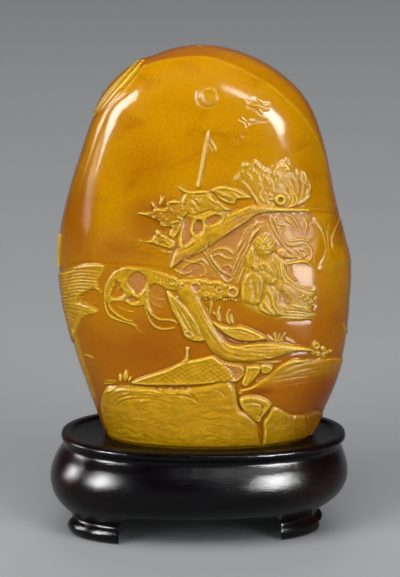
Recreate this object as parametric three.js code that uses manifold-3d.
import * as THREE from "three";
import { mergeVertices } from "three/addons/utils/BufferGeometryUtils.js";
import Module from "manifold-3d";

// A soapstone boulder, carved in low relief with a scholar resting in a landscape, on its wooden stand.
// Millimetres, +Z up. The carved face looks towards -Y, and the origin is on the floor under the stand.

// The boulder, from its flat foot in the seat to its crown.
const STONE_FOOT = 25.8;
const STONE_CROWN = 147.5;
const STONE_SECTION = 2.5; // exponent of the level sections: 2 is an ellipse, more is squarer
const FOOT_SECTION = 2.1;
const FOOT_BLEND = [30, 50]; // the section turns squarer between these heights
const STONE_COLUMNS = 32;
const STONE_ROWS = 21;
// Height, then how far the stone reaches to the left, to the right, to the front and to the back.
const STONE_REACH = [
  [25.8, 24.6, 27.8, 13.4, 13.0],
  [30.5, 28.3, 33.4, 16.6, 15.5],
  [38, 31.2, 36.9, 18.2, 16.8],
  [48.8, 34.8, 41.0, 19.2, 17.8],
  [60, 38.2, 43.4, 19.7, 18.3],
  [72, 40.9, 44.4, 20.0, 18.6],
  [82, 41.7, 44.6, 20.0, 18.6],
  [92, 41.3, 42.2, 19.8, 18.4],
  [104, 38.6, 39.4, 19.2, 17.6],
  [115, 35.2, 37.3, 18.3, 16.4],
  [126, 31.4, 34.1, 17.1, 15.0],
  [133.4, 27.9, 30.0, 15.7, 13.6],
  [139.3, 22.6, 23.8, 13.6, 12.0],
  [143.4, 16.6, 17.2, 11.2, 10.2],
  [146.1, 9.9, 10.2, 7.8, 7.4],
  [147.5, 0, 0, 0, 0],
];

// The relief is drawn on a sheet that leans back, as the boulder is looked at, and is cut square to it.
const SHEET_LEAN = THREE.MathUtils.degToRad(15);
const RELIEF_FADE = [30.9, 36]; // the relief dies out between these heights, so the foot fits its seat
const RELIEF_BACK = 3; // how far behind the middle of the stone the relief may wrap
const MOON = { across: 2.6, up: 128.3, radius: 2.8, halo: 4.0, sunk: 0.5 };

// The stand: an oval with a lip, a neck, a belly and four low feet.
const STAND_SECTION = 2.3;
const STAND_COLUMNS = 40;
// Height, half width, half depth, drift of the hand-carved oval to the right, and its turn in degrees,
// which brings the left end forwards.
const STAND_LEVELS = [
  [0, 37.2, 17.4, -1.3, 4],
  [0.8, 38.2, 18.4, -1.3, 4],
  [2.5, 38.7, 19.0, -1.4, 4],
  [4.0, 38.0, 18.8, -1.4, 4],
  [5.4, 36.9, 18.2, -1.4, 4],
  [7.9, 38.9, 20.6, -1.8, 3],
  [10.2, 41.3, 23.2, -1.5, 1.5],
  [13.0, 43.4, 25.1, -0.9, 0.5],
  [16.5, 44.5, 26.2, -0.4, 0],
  [20.0, 44.3, 26.0, -0.1, 0],
  [23.7, 43.0, 24.9, 0.2, 0],
  [25.6, 42.0, 23.9, 0.5, 0],
  [27.0, 41.4, 23.4, 0.7, 0],
  [28.0, 41.8, 23.8, 0.8, 0],
  [29.2, 42.5, 24.6, 1.0, 0],
  [30.2, 42.3, 24.4, 1.0, 0],
  [30.6, 41.5, 23.6, 1.0, 0],
];
const STAND_TOP = 30.6;
const LIP_WIDTH = 1.8;
const DISH_DEPTH = 0.8;
const SEAT_GAP = 0.3;
const APRON_BOTTOM = 10.2;
const FOOT_THICKNESS = 9;
const FRONT_ARCH_HALF = 24.2; // half width of the gap between two feet, at the floor
const END_ARCH_HALF = 4.6;
const END_ARCH_TOP = 7.4;

const wasm = await Module();
wasm.setup();

function toSolid(geometry) {
  const bare = new THREE.BufferGeometry();
  bare.setAttribute("position", geometry.getAttribute("position"));
  bare.setIndex(geometry.getIndex());
  const merged = mergeVertices(bare, 1e-4);
  const vertProperties = merged.getAttribute("position").array;
  const triVerts = new Uint32Array(merged.getIndex().array);
  return new wasm.Manifold(new wasm.Mesh({ numProp: 3, vertProperties, triVerts }));
}

function toGeometry(solid) {
  const mesh = solid.getMesh();
  const geometry = new THREE.BufferGeometry();
  geometry.setAttribute("position", new THREE.BufferAttribute(mesh.vertProperties, 3));
  geometry.setIndex(new THREE.BufferAttribute(mesh.triVerts, 1));
  geometry.computeVertexNormals();
  return geometry;
}

// A smooth curve through rows of [place, value, value, ...], with the rows in order of place.
function smooth(rows, place) {
  const last = rows.length - 1;
  let i = 0;
  while (i < last - 1 && place > rows[i + 1][0]) i += 1;
  const slope = (k, column) => {
    const a = rows[Math.max(k - 1, 0)];
    const b = rows[Math.min(k + 1, last)];
    return (b[column] - a[column]) / (b[0] - a[0]);
  };
  const [from, to] = [rows[i], rows[i + 1]];
  const width = to[0] - from[0];
  const t = THREE.MathUtils.clamp((place - from[0]) / width, 0, 1);
  return from.slice(1).map((value, k) => {
    const column = k + 1;
    const [m0, m1] = [slope(i, column) * width, slope(i + 1, column) * width];
    const [t2, t3] = [t * t, t * t * t];
    return (2 * t3 - 3 * t2 + 1) * value + (t3 - 2 * t2 + t) * m0
      + (3 * t2 - 2 * t3) * to[column] + (t3 - t2) * m1;
  });
}

function fade(from, to, place) {
  return THREE.MathUtils.smoothstep(place, from, to);
}

// A point on an oval whose corners are squarer than an ellipse's, at a turn in radians.
function oval(turn, exponent) {
  const bend = (value) => Math.sign(value) * Math.abs(value) ** (2 / exponent);
  return [bend(Math.cos(turn)), bend(Math.sin(turn))];
}

// Joins rings of points, listed from the bottom up, into one closed skin.
function loft(rings, bottom, top) {
  const count = rings[0].length;
  const points = [...rings.flat(), bottom, top];
  const [low, high] = [points.length - 2, points.length - 1];
  const index = [];
  for (let j = 0; j < count; j += 1) {
    const k = (j + 1) % count;
    for (let i = 0; i + 1 < rings.length; i += 1) {
      const [a, b, c, d] = [i * count + j, i * count + k, (i + 1) * count + k, (i + 1) * count + j];
      index.push(a, b, c, a, c, d);
    }
    const crown = (rings.length - 1) * count;
    index.push(low, k, j, high, crown + j, crown + k);
  }
  const geometry = new THREE.BufferGeometry().setFromPoints(points);
  geometry.setIndex(index);
  geometry.computeVertexNormals();
  return geometry;
}

// The stone's reach at a height. Near the crown the outline runs level, so it is drawn against the
// square root of the distance below the crown, where it stays smooth.
function stoneReach(height) {
  const depthBelow = (z) => Math.sqrt(Math.max(STONE_CROWN - z, 0));
  const rows = STONE_REACH.map(([z, ...reach]) => [depthBelow(z), ...reach]).reverse();
  return smooth(rows, depthBelow(height));
}

// Heights that are evenly spaced along the stone's right edge, from its foot to just below the crown.
function stoneHeights(count) {
  const steps = 400;
  const path = [];
  let length = 0;
  let before = null;
  for (let i = 0; i <= steps; i += 1) {
    const t = i / steps;
    const height = STONE_CROWN - (STONE_CROWN - STONE_FOOT) * (1 - t) ** 2;
    const right = stoneReach(height)[1];
    if (before) length += Math.hypot(right - before[0], height - before[1]);
    before = [right, height];
    path.push([length, height]);
  }
  const heights = [];
  for (let i = 0; i < count; i += 1) {
    heights.push(smooth(path, (length * i) / count)[0]);
  }
  return heights;
}

function stoneRing(height) {
  const [left, right, front, back] = stoneReach(height);
  const middle = (right - left) / 2;
  const half = (right + left) / 2;
  const section = FOOT_SECTION + (STONE_SECTION - FOOT_SECTION) * fade(...FOOT_BLEND, height);
  const ring = [];
  for (let j = 0; j < STONE_COLUMNS; j += 1) {
    const [across, away] = oval((2 * Math.PI * j) / STONE_COLUMNS, section);
    const depth = away < 0 ? front : back;
    ring.push(new THREE.Vector3(middle + half * across, depth * away, height));
  }
  return ring;
}

function stoneSkin() {
  const rings = stoneHeights(STONE_ROWS).map((height) => stoneRing(height));
  const [left, right] = stoneReach(STONE_FOOT);
  const foot = new THREE.Vector3((right - left) / 2, 0, STONE_FOOT);
  const crown = new THREE.Vector3(0, 0, STONE_CROWN);
  return loft(rings, foot, crown);
}

// The skin moved outwards by a growth that depends on the height. Inwards is below zero.
function grown(skin, growth) {
  const geometry = skin.clone();
  const places = geometry.getAttribute("position");
  const normals = skin.getAttribute("normal");
  const place = new THREE.Vector3();
  const normal = new THREE.Vector3();
  for (let i = 0; i < places.count; i += 1) {
    place.fromBufferAttribute(places, i);
    normal.fromBufferAttribute(normals, i);
    place.addScaledVector(normal, growth(place.z));
    places.setXYZ(i, place.x, place.y, place.z);
  }
  return toSolid(geometry);
}

// Outlines on the sheet. Each gives a list of points, as [across, up] in millimetres.

function toVectors(points) {
  return points.map(([across, up]) => new THREE.Vector2(across, up));
}

// A closed soft outline through a few points.
function soft(points, steps = 2) {
  const curve = new THREE.CatmullRomCurve3(
    points.map(([across, up]) => new THREE.Vector3(across, up, 0)), true, "centripetal",
  );
  return curve.getPoints(points.length * steps).slice(0, -1).map((p) => [p.x, p.y]);
}

// A band along a line of [across, up, width], as a branch, a stem or a fold has.
function band(line, steps = 2) {
  const curve = new THREE.CatmullRomCurve3(
    line.map(([across, up, width]) => new THREE.Vector3(across, up, width)), false, "centripetal",
  );
  const count = (line.length - 1) * steps;
  const [one, other] = [[], []];
  for (let i = 0; i <= count; i += 1) {
    const p = curve.getPoint(i / count);
    const along = curve.getTangent(i / count).setZ(0).normalize();
    const half = Math.max(p.z, 0.2) / 2;
    one.push([p.x - along.y * half, p.y + along.x * half]);
    other.push([p.x + along.y * half, p.y - along.x * half]);
  }
  return [...one, ...other.reverse()];
}

// A leaf from its stalk to its tip, widest in the middle.
function leaf(across, up, length, width, degrees) {
  const turn = THREE.MathUtils.degToRad(degrees);
  const at = (t, w) => [across + t * length * Math.cos(turn), up + t * length * Math.sin(turn), w];
  return band([at(0, 0.3), at(0.3, width * 0.9), at(0.65, width * 0.8), at(1, 0.3)], 1);
}

// A clump of foliage: a round outline with lobes.
function clump(across, up, wide, high, lobes, degrees = 0) {
  const points = [];
  const steps = lobes * 3;
  const tilt = THREE.MathUtils.degToRad(degrees);
  for (let i = 0; i < steps; i += 1) {
    const turn = (2 * Math.PI * i) / steps;
    const swell = 0.86 + 0.14 * Math.abs(Math.cos((lobes * turn) / 2));
    const [x, y] = [wide * swell * Math.cos(turn), high * swell * Math.sin(turn)];
    points.push([
      across + x * Math.cos(tilt) - y * Math.sin(tilt),
      up + x * Math.sin(tilt) + y * Math.cos(tilt),
    ]);
  }
  return points;
}

function disc(across, up, radius, steps = 20) {
  return Array.from({ length: steps }, (_, i) => {
    const turn = (2 * Math.PI * i) / steps;
    return [across + radius * Math.cos(turn), up + radius * Math.sin(turn)];
  });
}

// Everything in front of the sheet inside an outline, less its holes.
function prism(outline, holes = []) {
  const shape = new THREE.Shape(toVectors(outline));
  shape.holes = holes.map((hole) => new THREE.Path(toVectors(hole)));
  const geometry = new THREE.ExtrudeGeometry(shape, { depth: 120, bevelEnabled: false });
  geometry.translate(0, 0, -40);
  geometry.rotateX(Math.PI / 2 - SHEET_LEAN);
  return toSolid(geometry);
}

// The carving's raised parts, from the back of the scene to the front: [height, outline, holes].
function raisedParts() {
  return [
    ...skyAndRim(),
    ...pineAndBranch(),
    ...leftLeaves(),
    ...scholar(),
    ...willowAndWaves(),
    ...trunkAndBoat(),
    ...landAndRocks(),
  ];
}

function skyAndRim() {
  const skin = soft([
    [-50, 150], [-15.5, 142.5], [-17.5, 138.6], [-22, 133.5], [-26.5, 127.5], [-30.5, 121],
    [-33, 117], [-60, 116],
  ]);
  const mast = band([[-0.6, 102.2, 1.3], [1.2, 111, 1.1], [2.3, 116.6, 1.3], [2.6, 118.4, 0.3]], 1);
  const pennant = [[2.2, 116.2], [4.8, 112.6], [2.4, 113.4]];
  return [[0.5, skin], [0.7, mast], [0.7, pennant]];
}

function pineAndBranch() {
  const crown = soft([
    [16.9, 96.9], [13.3, 102.1], [10.2, 104.9], [12.1, 109.6], [15.4, 109.6], [19.5, 106.7],
    [22.1, 107.9], [26.6, 109.2], [30.8, 107.6], [33.2, 100.2], [28.4, 96.3], [22.5, 95.2],
  ]);
  const maple = soft([[4.1, 102.1], [8.5, 102.6], [11.5, 101.2], [15.1, 98.7], [10, 97.3], [5.6, 98.6]]);
  const branch = band([
    [-9.2, 77.7, 0.8], [-5.6, 81.4, 4.6], [0, 84.2, 5.6], [6, 88.3, 4.4], [12.5, 91.8, 3.4],
    [20.7, 95, 2.2], [30, 94.1, 1.2], [40, 93.2, 0.9],
  ]);
  const twig = band([[20.7, 93.5, 1.4], [24.1, 86.8, 1.2], [29.6, 80.3, 1.0], [33.2, 78.6, 0.4]]);
  const stems = band([[16.6, 90.6, 1.6], [13.4, 85.5, 2.6], [10.2, 79, 2.4], [8.6, 73.2, 0.8]]);
  const sprig = band([[0.6, 83.6, 1.2], [4.1, 78.3, 1.2], [8.3, 73.2, 0.9]]);
  return [
    [1.5, crown, [disc(23.7, 98.1, 0.9, 8)]],
    [2.3, disc(23.7, 98.1, 2.1, 14), [disc(23.7, 98.1, 0.9, 8)]],
    [1.2, maple], [2.4, branch], [1.2, twig], [1.5, stems], [1.2, sprig],
  ];
}

function leftLeaves() {
  const sprays = [
    leaf(-18.1, 94, 14.5, 3.6, 4), leaf(-12.7, 96.6, 9.5, 2.6, -12), leaf(-13.5, 90.8, 11, 3, 6),
    leaf(-13.3, 87, 9.5, 3, -22), leaf(-9, 99.5, 7.5, 2.2, -25), leaf(-6.5, 102.1, 6, 1.4, -6),
  ];
  return sprays.map((outline) => [1.2, outline]);
}

function scholar() {
  const robe = soft([
    [12.1, 69.4], [13.2, 76], [16.5, 81], [21.5, 81.5], [25.8, 80], [27.5, 75.5], [32.9, 70.2],
    [34.6, 64.6], [27, 63.6], [19.2, 64.1], [14, 66.6],
  ]);
  const folds = [0, 1, 2, 3].map((i) => band([
    [21.5 - 0.9 * i, 74.6 - 2.2 * i, 0.7], [26.5 - 0.4 * i, 71.5 - 2 * i, 1.3],
    [32.8 + 0.2 * i, 68.6 - 1.4 * i, 0.4],
  ]));
  return [
    [1.5, robe], ...folds.map((outline) => [2.1, outline]),
    [2.2, clump(20.4, 78, 5, 4.4, 3, -20)],
    [3.0, clump(15.8, 72.8, 2.7, 4, 3, 8)],
    [3.4, clump(19.2, 84, 3.1, 3.9, 5)],
    [1.8, disc(24.3, 83, 1.3, 10)],
  ];
}

function willowAndWaves() {
  const waves = soft([
    [-60, 79.4], [-34, 78.9], [-27.2, 78], [-29.2, 72], [-34.8, 69.8], [-35.6, 67.6], [-30.2, 65.5],
    [-33.4, 62.8], [-36.4, 58.4], [-35.5, 50], [-60, 46],
  ]);
  const crown = soft([
    [-27.2, 74.1], [-24.6, 77.1], [-19.8, 78], [-14.8, 77.1], [-9.8, 75.3], [-6.2, 73.2],
    [-6.4, 69.6], [-10.5, 66.4], [-16.4, 67], [-22, 68.6], [-27.6, 70.4],
  ]);
  const tendrils = [
    [[-27.4, 70.4, 0.9], [-27.2, 65.8, 0.9], [-23.6, 62.4, 0.9], [-18.8, 60.7, 0.8], [-16.4, 58.2, 0.3]],
    [[-17, 67.5, 0.9], [-14.8, 62.9, 0.9], [-11.5, 60.2, 0.8], [-7.6, 59.8, 0.4]],
  ];
  return [
    [0.7, waves], [1.2, crown, [disc(-18.4, 74.1, 2.4, 12), disc(-13, 70.3, 2.5, 12)]],
    ...tendrils.map((line) => [0.8, band(line)]),
  ];
}

function trunkAndBoat() {
  const foliage = clump(2.4, 71.8, 9.6, 3.1, 9, -14);
  const hull = soft([[3.3, 62.3], [9, 61.5], [14.5, 59.9], [19.2, 57.2], [13.5, 55.6], [7.8, 57]]);
  const husk = soft([
    [-9.8, 71.5], [-8.4, 66], [-5.6, 59.6], [-3, 56.7], [0.6, 56.3], [-0.6, 61.1], [-4.7, 67.3],
    [-7.4, 70.9],
  ]);
  const husks = [soft([[-7, 67.5], [-4.8, 62], [-2.2, 60], [-3.2, 63.5]])];
  const trunk = band([
    [-1.9, 70, 5.6], [-0.1, 63, 5], [3.2, 57, 4.8], [8.5, 53, 5], [15, 52.6, 5.6], [21, 53.4, 5.8],
    [27, 53.3, 4.4], [33, 53.8, 0.5],
  ]);
  return [[1.0, foliage], [1.4, hull], [2.2, trunk], [1.5, husk, husks]];
}

function landAndRocks() {
  const cliff = soft([
    [60, 94.6], [40.5, 93.9], [33.5, 92.5], [35.4, 89.8], [36.8, 85.5], [35, 81], [33, 78.8],
    [38.5, 78.4], [41.6, 82], [60, 88],
  ]);
  const hill = soft([
    [11.8, 41.1], [18, 45.5], [26, 50.4], [32.3, 50.7], [38.5, 51.4], [38.6, 47], [36, 42.6],
    [27, 40.6], [19.5, 41.2],
  ]);
  const thatch = soft([
    [-20.4, 44.2], [-12.8, 47.4], [-5.3, 50.4], [3.8, 52.2], [8.3, 49.8], [12.4, 49.2], [10.2, 45.6],
    [1.5, 43.4], [-12, 43.2],
  ]);
  const post = [[-4.6, 50], [-4, 54.3], [-3.3, 54.3], [-3.1, 50]];
  const rock = soft([
    [-31, 18], [-31.4, 37], [-30.6, 43.2], [-27.8, 43.7], [-18, 43], [-9.8, 42.4], [1.5, 43],
    [8.3, 44.4], [10.8, 41.6], [11.8, 36.2], [15, 33.6], [17.3, 29], [17.6, 20],
  ]);
  const nearRock = soft([[12, 41], [18.4, 39.9], [20.3, 38], [19.4, 35.2], [17.8, 31.4], [14.6, 34.2], [12.2, 37]]);
  const farRock = soft([
    [20.9, 36.9], [24.5, 35.2], [29, 34.6], [33.3, 35.5], [38, 35.4], [60, 35], [60, 18], [19, 18],
    [18.7, 29.5], [18.4, 33.4],
  ]);
  return [
    [1.0, cliff], [0.8, hill], [1.2, thatch], [0.8, post], [1.4, rock], [1.5, nearRock],
    [1.3, farRock],
  ];
}

function stoneCarving() {
  const skin = stoneSkin();
  const byHeight = (amount) => grown(skin, (z) => amount * fade(...RELIEF_FADE, z));
  const near = new THREE.BoxGeometry(200, 100, 300).translate(0, RELIEF_BACK - 50, 100);
  const nearHalf = toSolid(near);
  const halo = prism(
    disc(MOON.across, MOON.up, MOON.halo, 22), [disc(MOON.across, MOON.up, MOON.radius, 18)],
  );
  let stone = toSolid(skin).subtract(halo.intersect(nearHalf).subtract(byHeight(-MOON.sunk)));
  for (const [height, outline, holes] of raisedParts()) {
    stone = stone.add(prism(outline, holes).intersect(nearHalf).intersect(byHeight(height)));
  }
  return toGeometry(stone);
}

function standRing([height, halfWidth, halfDepth, drift, turn], inset = 0) {
  const ring = [];
  const upright = new THREE.Vector3(0, 0, 1);
  for (let j = 0; j < STAND_COLUMNS; j += 1) {
    const [across, away] = oval((2 * Math.PI * j) / STAND_COLUMNS, STAND_SECTION);
    const point = new THREE.Vector3((halfWidth - inset) * across, (halfDepth - inset) * away, height);
    point.applyAxisAngle(upright, THREE.MathUtils.degToRad(turn));
    point.x += drift;
    ring.push(point);
  }
  return ring;
}

function standLoft(levels, inset = 0) {
  const middle = ([height, , , drift]) => new THREE.Vector3(drift, 0, height);
  const rings = levels.map((level) => standRing(level, inset));
  return toSolid(loft(rings, middle(levels[0]), middle(levels.at(-1))));
}

// The gap under the apron between two feet: straight sides, then a curve in to the apron.
function archShape(half, top, curve) {
  const arch = new THREE.Shape();
  arch.moveTo(-half, -2);
  arch.lineTo(half, -2);
  arch.lineTo(half, top - curve);
  arch.quadraticCurveTo(half - curve * 0.2, top - curve * 0.1, half - curve, top);
  arch.lineTo(-half + curve, top);
  arch.quadraticCurveTo(-half + curve * 0.2, top - curve * 0.1, -half, top - curve);
  return arch;
}

function standArches() {
  const settings = { depth: 120, bevelEnabled: false, curveSegments: 5 };
  const front = new THREE.ExtrudeGeometry(archShape(FRONT_ARCH_HALF, APRON_BOTTOM, 4.2), settings);
  front.translate(0, 0, -60);
  front.rotateX(Math.PI / 2);
  const end = new THREE.ExtrudeGeometry(archShape(END_ARCH_HALF, END_ARCH_TOP, 3), settings);
  end.translate(0, 0, -60);
  end.rotateX(Math.PI / 2);
  end.rotateZ(Math.PI / 2);
  return toSolid(front).add(toSolid(end));
}

function woodenStand() {
  const [, footWidth, footDepth, footDrift, footTurn] = STAND_LEVELS[4];
  const under = standLoft(
    [-2, APRON_BOTTOM].map((z) => [z, footWidth, footDepth, footDrift, footTurn]), FOOT_THICKNESS,
  );
  const [, lipWidth, lipDepth, lipDrift] = STAND_LEVELS.at(-1);
  const dish = standLoft([
    [STAND_TOP - DISH_DEPTH, lipWidth - 0.8, lipDepth - 0.8, lipDrift, 0],
    [STAND_TOP + 1, lipWidth + 1, lipDepth + 1, lipDrift, 0],
  ], LIP_WIDTH);
  const seat = grown(stoneSkin(), () => SEAT_GAP);
  const stand = standLoft(STAND_LEVELS).subtract(under).subtract(standArches()).subtract(dish);
  return toGeometry(stand.subtract(seat));
}

function named(name, geometry, look) {
  const mesh = new THREE.Mesh(geometry, new THREE.MeshStandardMaterial(look));
  mesh.name = name;
  return mesh;
}

const carving = new THREE.Group();
carving.add(named("stone_carving", stoneCarving(), { color: 0xbd7f14, roughness: 0.3, metalness: 0 }));
carving.add(named("wooden_stand", woodenStand(), { color: 0x17110f, roughness: 0.35, metalness: 0 }));

export default carving;
